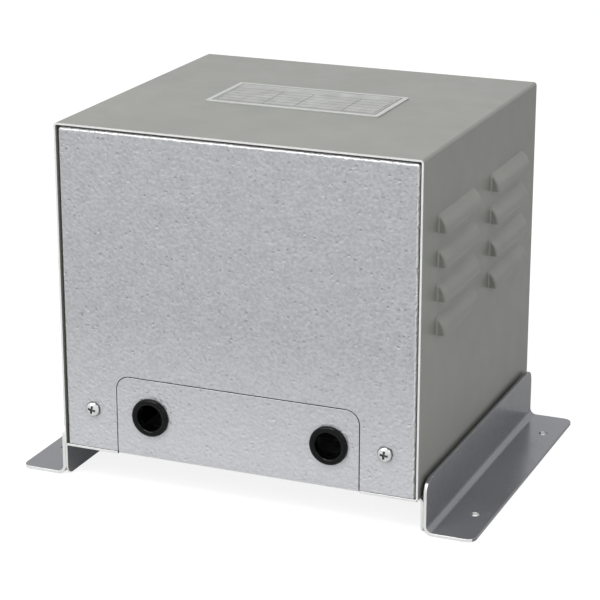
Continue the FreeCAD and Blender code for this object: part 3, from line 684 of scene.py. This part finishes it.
def close_tree(desk, geometry, finish, chosen=True):
    """Ends a tree with real geometry whose chosen faces get the finish."""
    real = desk.add("GeometryNodeRealizeInstances", {"Geometry": geometry}).outputs[0]
    dressed = desk.add("GeometryNodeSetMaterial", {"Geometry": real, "Selection": chosen,
                                                   "Material": finish}).outputs[0]
    desk.add("NodeGroupOutput", {"Geometry": dressed})


def grown(name, mesh, tree, values):
    """Piece that a node group grows from a mesh, made plain."""
    seedling = add_object(name, mesh)
    modifier = seedling.modifiers.new(tree.name, "NODES")
    modifier.node_group = tree
    for item in tree.interface.items_tree:
        if item.in_out == "INPUT" and item.name in values:
            modifier[item.identifier] = values[item.name]
    return baked(seedling)


def fastener_tree():
    """Sets a pattern on every point, facing along the run and turned about it at random.

    The faces of the recess keep their dark material, which is painted shade in the recess."""
    tree = group_tree("Seated fasteners", [
        ("Pattern", "NodeSocketObject", None), ("Run", "NodeSocketVector", (0, 0, 1)),
        ("Turn", "NodeSocketFloat", math.pi), ("Seed", "NodeSocketInt", 0),
        ("Finish", "NodeSocketMaterial", None), ("Recess", "NodeSocketMaterial", None)])
    desk = NodeDesk(tree)
    given = desk.add("NodeGroupInput").outputs
    pattern = desk.add("GeometryNodeObjectInfo", {"Object": given["Pattern"]}).outputs["Geometry"]
    facing = desk.add("FunctionNodeAlignRotationToVector", {"Vector": given["Run"]},
                      axis="Z").outputs[0]
    spin = desk.add("FunctionNodeRandomValue", {2: 0.0, 3: given["Turn"], "Seed": given["Seed"]},
                    data_type="FLOAT").outputs[1]
    twist = desk.add("FunctionNodeAxisAngleToRotation", {
        "Axis": (0, 0, 1), "Angle": spin}).outputs[0]
    turned = desk.add("FunctionNodeRotateRotation", {0: facing, 1: twist},
                      rotation_space="LOCAL").outputs[0]
    placed = desk.add("GeometryNodeInstanceOnPoints", {
        "Points": given["Geometry"], "Instance": pattern, "Rotation": turned}).outputs[0]
    recess = desk.add("GeometryNodeMaterialSelection", {"Material": given["Recess"]}).outputs[0]
    outside = desk.add("FunctionNodeBooleanMath", {0: recess}, operation="NOT").outputs[0]
    close_tree(desk, placed, given["Finish"], outside)
    return tree


def point_mesh(name, points):
    mesh = bpy.data.meshes.new(name)
    mesh.from_pydata([tuple(point) for point in points], [], [])
    return mesh


def screw_seats(node, run):
    """Seat point, head width, screw size and shank length of each screw in a node."""
    along = 1 if run == REARWARD else 2
    seats = []
    for low, high in islands(node):
        head_width = high.x - low.x
        size = head_width / PAN_WIDTH
        seat = (low + high) / 2
        seat[along] = low[along] + PAN_HEIGHT * size
        seats.append((seat, head_width, size, high[along] - seat[along]))
    return seats


def fit_screws(tree, name, nodes, run, slot_name, settings, turn=math.pi):
    """One piece with every screw of some nodes, all of one size."""
    seats = [seat for node in nodes for seat in screw_seats(node, run)]
    head_width, size, shank_length = seats[0][1:]
    finish = FINISHES[slot_name]
    pattern = screw_pattern(name + "_pattern", head_width, PAN_HEIGHT * size, size, shank_length,
                            finish, settings)
    values = {"Pattern": pattern, "Run": tuple(run), "Turn": turn, "Seed": settings.seed,
              "Finish": finish, "Recess": FINISHES["recess_shade"]}
    piece = grown(name, point_mesh(name, [seat[0] for seat in seats]), tree, values)
    drop_object(pattern)
    seat_piece(piece, nodes)


def lamination_mesh(low, high, thickness, inset):
    """One stamping with its two windows, standing across Y; its outline is drawn in by inset."""
    leg = (high.x - low.x) / 3
    columns = [-1.5 * leg + inset, -leg, -0.5 * leg, 0.5 * leg, leg, 1.5 * leg - inset]
    rows = [low.z + inset, low.z + 0.5 * leg, high.z - 0.5 * leg, high.z - inset]
    shape = bmesh.new()
    grid = [[shape.verts.new((x, 0, z)) for z in rows] for x in columns]
    for column in range(len(columns) - 1):
        for row in range(len(rows) - 1):
            if row == 1 and column in (1, 3):
                continue
            shape.faces.new([grid[column][row], grid[column + 1][row],
                             grid[column + 1][row + 1], grid[column][row + 1]])
    thicken(shape, list(shape.faces), (0, thickness, 0))
    return finished_mesh("lamination", shape)


def lamination_tree():
    """Stacks a stamping along Y, each a little out of line."""
    tree = group_tree("Lamination stack", [
        ("Stamping", "NodeSocketObject", None), ("Count", "NodeSocketInt", 100),
        ("Pitch", "NodeSocketFloat", 0.5 * MM), ("Start", "NodeSocketVector", (0, 0, 0)),
        ("Stagger", "NodeSocketFloat", 0.05 * MM), ("Seed", "NodeSocketInt", 0),
        ("Finish", "NodeSocketMaterial", None)])
    desk = NodeDesk(tree)
    given = desk.add("NodeGroupInput").outputs
    step = desk.add("ShaderNodeCombineXYZ", {"Y": given["Pitch"]}).outputs[0]
    line = desk.add("GeometryNodeMeshLine", {
        "Count": given["Count"], "Start Location": given["Start"], "Offset": step},
        mode="OFFSET").outputs[0]
    stamping = desk.add("GeometryNodeObjectInfo", {"Object": given["Stamping"]})
    placed = desk.add("GeometryNodeInstanceOnPoints", {
        "Points": line, "Instance": stamping.outputs["Geometry"]}).outputs[0]
    ahead = given["Stagger"]
    back = combine(desk, "MULTIPLY", ahead, -1.0)
    low = desk.add("ShaderNodeCombineXYZ", {"X": back, "Z": back}).outputs[0]
    high = desk.add("ShaderNodeCombineXYZ", {"X": ahead, "Z": ahead}).outputs[0]
    offset = desk.add("FunctionNodeRandomValue", {"Seed": given["Seed"]}, data_type="FLOAT_VECTOR")
    desk.feed(offset.inputs[0], low)
    desk.feed(offset.inputs[1], high)
    moved = desk.add("GeometryNodeTranslateInstances", {
        "Instances": placed, "Translation": offset.outputs[0]}).outputs[0]
    close_tree(desk, moved, given["Finish"])
    return tree


def rounded_slab(name, low, high, corner, rounding):
    """Plate with round corners seen from above and a softened rim."""
    shape = bmesh.new()
    outline = []
    for centre_x, centre_y, start in ((high.x - corner, high.y - corner, 0),
                                      (low.x + corner, high.y - corner, 90),
                                      (low.x + corner, low.y + corner, 180),
                                      (high.x - corner, low.y + corner, 270)):
        for angle in range(start, start + 91, 15):
            turn = math.radians(angle)
            place = (centre_x + corner * math.cos(turn), centre_y + corner * math.sin(turn), low.z)
            outline.append(shape.verts.new(place))
    thicken(shape, [shape.faces.new(outline)], (0, 0, high.z - low.z))
    rim = [edge for edge in shape.edges
           if all(abs(vert.co.z - high.z) < WELD_DISTANCE for vert in edge.verts)]
    bmesh.ops.bevel(shape, geom=rim, offset=rounding, segments=2, profile=0.5, affect="EDGES")
    return finished_mesh(name, shape)


def add_bar(shape, x0, x1, y0, y1, z0, z1):
    """Adds a closed bar to a mesh."""
    matrix = Matrix.Translation(((x0 + x1) / 2, (y0 + y1) / 2, (z0 + z1) / 2))
    matrix = matrix @ Matrix.Diagonal((x1 - x0, y1 - y0, z1 - z0, 1))
    bmesh.ops.create_cube(shape, size=1.0, matrix=matrix)


def nameplate_print(settings, top):
    """Grey field, frame line and empty table rules on the nameplate.

    The field comes first, is thinner than the lines and has material 0."""
    field_height = 0.75
    title_height = 0.22
    columns = (0.0, 0.3, 0.5, 0.8, 1.0)
    shape = bmesh.new()
    x0 = PLATE_LOW.x + settings.margin
    x1 = PLATE_HIGH.x - settings.margin
    y0 = PLATE_LOW.y + settings.margin
    y1 = PLATE_HIGH.y - settings.margin
    z0 = top - settings.print_height
    line = settings.line
    add_bar(shape, x0 + line / 2, x1 - line / 2, y0 + line / 2, y1 - line / 2, z0,
            z0 + field_height * settings.print_height)
    field = len(shape.faces)
    add_bar(shape, x0, x1, y0, y0 + line, z0, top)
    add_bar(shape, x0, x1, y1 - line, y1, z0, top)
    add_bar(shape, x0, x0 + line, y0 + line, y1 - line, z0, top)
    add_bar(shape, x1 - line, x1, y0 + line, y1 - line, z0, top)
    thin = 0.6 * line
    inner = 3 * line
    table_top = y1 - inner - title_height * (y1 - y0)
    pitch = (table_top - y0 - inner) / settings.rows
    for row in range(settings.rows + 1):
        y = y0 + inner + row * pitch
        add_bar(shape, x0 + inner, x1 - inner, y, y + thin, z0, top)
    for share in columns:
        x = x0 + inner + share * (x1 - x0 - 2 * inner)
        add_bar(shape, x - thin / 2, x + thin / 2, y0 + inner, table_top + thin, z0, top)
    for number, face in enumerate(shape.faces):
        face.material_index = 0 if number < field else 1
    return finished_mesh("nameplate_print", shape)


class AUTOTRANSFORMER_OT_case(Operator):
    """Dress the cover, both panels, the tray and the feet as painted sheet steel"""
    bl_idname = "autotransformer.case"
    bl_label = "Sheet metal"

    def execute(self, context):
        settings = context.scene.autotransformer_finish
        make_finishes(settings)
        rounding = settings.edge_round
        foot_rounding = 1.5 * rounding
        dress_sheet("cover", CASE_SHEET, "cover_paint", 0.0)
        dress_sheet("front_panel", CASE_SHEET, "panel_hammertone", rounding)
        dress_sheet("rear_panel", CASE_SHEET, "panel_hammertone", rounding)
        # The tray's faces that don't look to the front take the darker foot paint: partly its own
        # paint inside and under, partly painted shade under the case.
        dress_sheet("tray", TRAY_SHEET, "panel_hammertone", rounding, "foot_paint")
        dress_sheet("foot_left", FOOT_SHEET, "foot_paint", foot_rounding)
        dress_sheet("foot_right", FOOT_SHEET, "foot_paint", foot_rounding)
        return {"FINISHED"}


class AUTOTRANSFORMER_OT_nameplate(Operator):
    """Make the bare nameplate with its frame line and empty table"""
    bl_idname = "autotransformer.nameplate"
    bl_label = "Nameplate"

    def execute(self, context):
        settings = context.scene.autotransformer_nameplate
        top = PLATE_HIGH - UP * (settings.print_height / 2)
        mesh = rounded_slab("nameplate_foil", PLATE_LOW, top, corner=1.5 * MM,
                            rounding=0.15 * MM)
        mesh.materials.append(FINISHES["nameplate_foil"])
        plate = add_object("nameplate_foil", mesh)
        seat_piece(plate, ["nameplate"])
        mesh = nameplate_print(settings, PLATE_HIGH.z)
        mesh.materials.append(FINISHES["plate_field"])
        mesh.materials.append(FINISHES["plate_print"])
        seat_piece(add_object("nameplate_print", mesh))
        return {"FINISHED"}


def outlet_ring(node, settings):
    """Rubber ring in a node's place, with a rounded lip on each side of its groove."""
    low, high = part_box(node)
    outer, bore, neck = (high.x - low.x) / 2, settings.bore / 2, settings.neck / 2
    middle, reach = (outer + bore) / 2, (outer - bore) / 2
    shoulder = (high.y - low.y) / 2 - settings.lip
    power = 2 / settings.squareness
    crown, lip_steps, turns = 0.8, 16, 72
    upper = [(neck, shoulder), (outer, shoulder)]
    for step in range(lip_steps + 1):
        angle = math.pi * step / lip_steps
        across = math.copysign(abs(math.cos(angle)) ** power, math.cos(angle))
        rise = 1 - crown + crown * abs(math.sin(angle)) ** power
        upper.append((middle + reach * across, shoulder + settings.lip * rise))
    lower = [(radius, -height) for radius, height in reversed(upper)]
    mesh = lathe(node + "_rubber", upper + lower, turns, hollow=True)
    mesh.transform(Matrix.Translation((low + high) / 2) @ Matrix.Rotation(math.pi / 2, 4, "X"))
    mesh.set_sharp_from_angle(angle=OUTLET_SHARP)
    return mesh


class AUTOTRANSFORMER_OT_outlets(Operator):
    """Make the rubber rings of the cable outlets"""
    bl_idname = "autotransformer.outlets"
    bl_label = "Cable outlets"

    def execute(self, context):
        for node in ("grommet_left", "grommet_right"):
            mesh = outlet_ring(node, context.scene.autotransformer_outlets)
            mesh.materials.append(FINISHES["outlet_rubber"])
            seat_piece(add_object(node + "_rubber", mesh), [node])
        return {"FINISHED"}


class AUTOTRANSFORMER_OT_screws(Operator):
    """Set cross-recessed screws in the panel, under the tray and in the terminal block"""
    bl_idname = "autotransformer.screws"
    bl_label = "Screws"

    def execute(self, context):
        settings = context.scene.autotransformer_screws
        tree = fastener_tree()
        fit_screws(tree, "panel_screws_pan", ["panel_screw_left", "panel_screw_right"], REARWARD,
                   "panel_screw_steel", settings, PANEL_SCREW_TURN)
        for node, run in (("cover_screws", UP), ("bracket_screws", UP),
                          ("terminal_screws", REARWARD), ("block_screws", REARWARD)):
            fit_screws(tree, node + "_pan", [node], run, "zinc_plate", settings)
        return {"FINISHED"}


class AUTOTRANSFORMER_OT_core(Operator):
    """Build the core from its laminations and give coil, clamps and terminals their finishes"""
    bl_idname = "autotransformer.core"
    bl_label = "Core, coil and terminals"

    def execute(self, context):
        settings = context.scene.autotransformer_core
        low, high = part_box("core")
        count = int((high.y - low.y) / settings.lamination)
        pitch = (high.y - low.y) / count
        gap = 0.2 * pitch
        mesh = lamination_mesh(low, high, pitch - gap, settings.stagger)
        stamping = add_object("stamping", mesh)
        values = {"Stamping": stamping, "Count": count, "Pitch": pitch,
                  "Start": (0.0, low.y + gap / 2, 0.0), "Stagger": settings.stagger,
                  "Seed": settings.seed, "Finish": FINISHES["lamination_steel"]}
        core = grown("core_laminations", point_mesh("core_laminations", [(0, 0, 0)]),
                     lamination_tree(), values)
        drop_object(stamping)
        seat_piece(core, ["core"])
        for entry in frame["record"]["subparts"]:
            node = NODES[entry["node"]]
            if not node.hide_render:
                paint_node(entry["node"], entry["material_slot"])
        return {"FINISHED"}


def add_lamp(name, power, size, place):
    """Square lamp that looks at the object."""
    lamp = bpy.data.lights.new(name, "AREA")
    lamp.energy = power
    lamp.shape = "RECTANGLE"
    lamp.size = size
    lamp.size_y = size
    made = add_object(name, lamp)
    made.location = place
    made.rotation_euler = (Vector(LAMP_AIM) - Vector(place)).to_track_quat("-Z", "Y").to_euler()


def sight(desk):
    """1 for rays from the camera, and 1 for rays that see by gloss or through glass."""
    path = desk.add("ShaderNodeLightPath").outputs
    mirrored = combine(desk, "MAXIMUM", path["Is Glossy Ray"], path["Is Transmission Ray"])
    return path["Is Camera Ray"], mirrored


def studio_floor(desk):
    """Pale floor that looks white to the camera and keeps a faint shadow."""
    direct, mirrored = sight(desk)
    pale = two_tone(desk, noise(desk, 30.0, 2.0), 0.3, 0.7, (1.0, 1.0, 1.0), 0.76, 0.78)
    tone = blend(desk, direct, pale, (0.40, 0.40, 0.40, 1.0))
    matt = desk.add("ShaderNodeBsdfDiffuse", {"Color": tone})
    strength = combine(desk, "ADD", combine(desk, "MULTIPLY", direct, 0.86),
                       combine(desk, "MULTIPLY", mirrored, 0.22))
    glow = desk.add("ShaderNodeEmission", {"Color": (1, 1, 1, 1), "Strength": strength})
    return desk.add("ShaderNodeAddShader", {0: matt.outputs[0], 1: glow.outputs[0]})


class AUTOTRANSFORMER_OT_stage(Operator):
    """Set up the floor, the lamps, the white surround and the camera"""
    bl_idname = "autotransformer.stage"
    bl_label = "Studio"

    def execute(self, context):
        settings = context.scene.autotransformer_stage
        scene = context.scene
        shape = bmesh.new()
        bmesh.ops.create_grid(shape, x_segments=1, y_segments=1, size=FLOOR_HALF,
                              matrix=Matrix.Translation(-FLOOR_DROP * UP))
        mesh = finished_mesh("studio_floor", shape)
        mesh.materials.append(material("studio_floor", studio_floor))
        add_object("studio_floor", mesh)

        for name, power, size, place in LAMPS:
            add_lamp(name, getattr(settings, power), size, place)

        world = bpy.data.worlds.new("studio_surround")
        world.use_nodes = True
        desk = NodeDesk(world.node_tree)
        seen = combine(desk, "MAXIMUM", *sight(desk))
        strength = ramp(desk, seen, 0.0, 1.0, settings.ambient, 1.0)
        even = desk.add("ShaderNodeBackground", {"Color": (1, 1, 1, 1), "Strength": strength})
        desk.add("ShaderNodeOutputWorld", {"Surface": even.outputs[0]})
        scene.world = world

        lens = bpy.data.cameras.new("photo_camera")
        lens.lens = settings.lens
        lens.sensor_width = SENSOR_WIDTH
        camera = add_object("photo_camera", lens)
        back = Vector((math.sin(settings.azimuth) * math.cos(settings.elevation),
                       -math.cos(settings.azimuth) * math.cos(settings.elevation),
                       math.sin(settings.elevation)))
        camera.location = Vector(settings.aim) + back * settings.distance
        camera.rotation_euler = back.to_track_quat("Z", "Y").to_euler()
        scene.camera = camera
        scene.view_settings.view_transform = "Standard"
        return {"FINISHED"}


class AUTOTRANSFORMER_PT_dressing(Panel):
    """Buttons and sizes of the autotransformer's dressing"""
    bl_idname = "AUTOTRANSFORMER_PT_dressing"
    bl_label = "Autotransformer"
    bl_space_type = "VIEW_3D"
    bl_region_type = "UI"
    bl_category = "Autotransformer"

    def draw(self, context):
        for operator in OPERATORS:
            self.layout.operator(operator.bl_idname)
        for name, group in SETTINGS.items():
            box = self.layout.box()
            for field in group.__annotations__:
                box.prop(getattr(context.scene, name), field)


OPERATORS = (
    AUTOTRANSFORMER_OT_case,
    AUTOTRANSFORMER_OT_nameplate,
    AUTOTRANSFORMER_OT_outlets,
    AUTOTRANSFORMER_OT_screws,
    AUTOTRANSFORMER_OT_core,
    AUTOTRANSFORMER_OT_stage,
)


def register():
    for entry in (*SETTINGS.values(), *OPERATORS, AUTOTRANSFORMER_PT_dressing):
        bpy.utils.register_class(entry)
    for name, group in SETTINGS.items():
        setattr(bpy.types.Scene, name, PointerProperty(type=group))


def unregister():
    for name in SETTINGS:
        delattr(bpy.types.Scene, name)
    for entry in (AUTOTRANSFORMER_PT_dressing, *OPERATORS, *SETTINGS.values()):
        bpy.utils.unregister_class(entry)


def main():
    register()
    bpy.ops.autotransformer.case()
    bpy.ops.autotransformer.nameplate()
    bpy.ops.autotransformer.outlets()
    bpy.ops.autotransformer.screws()
    bpy.ops.autotransformer.core()
    bpy.ops.autotransformer.stage()


if __name__ == "__main__":
    main()
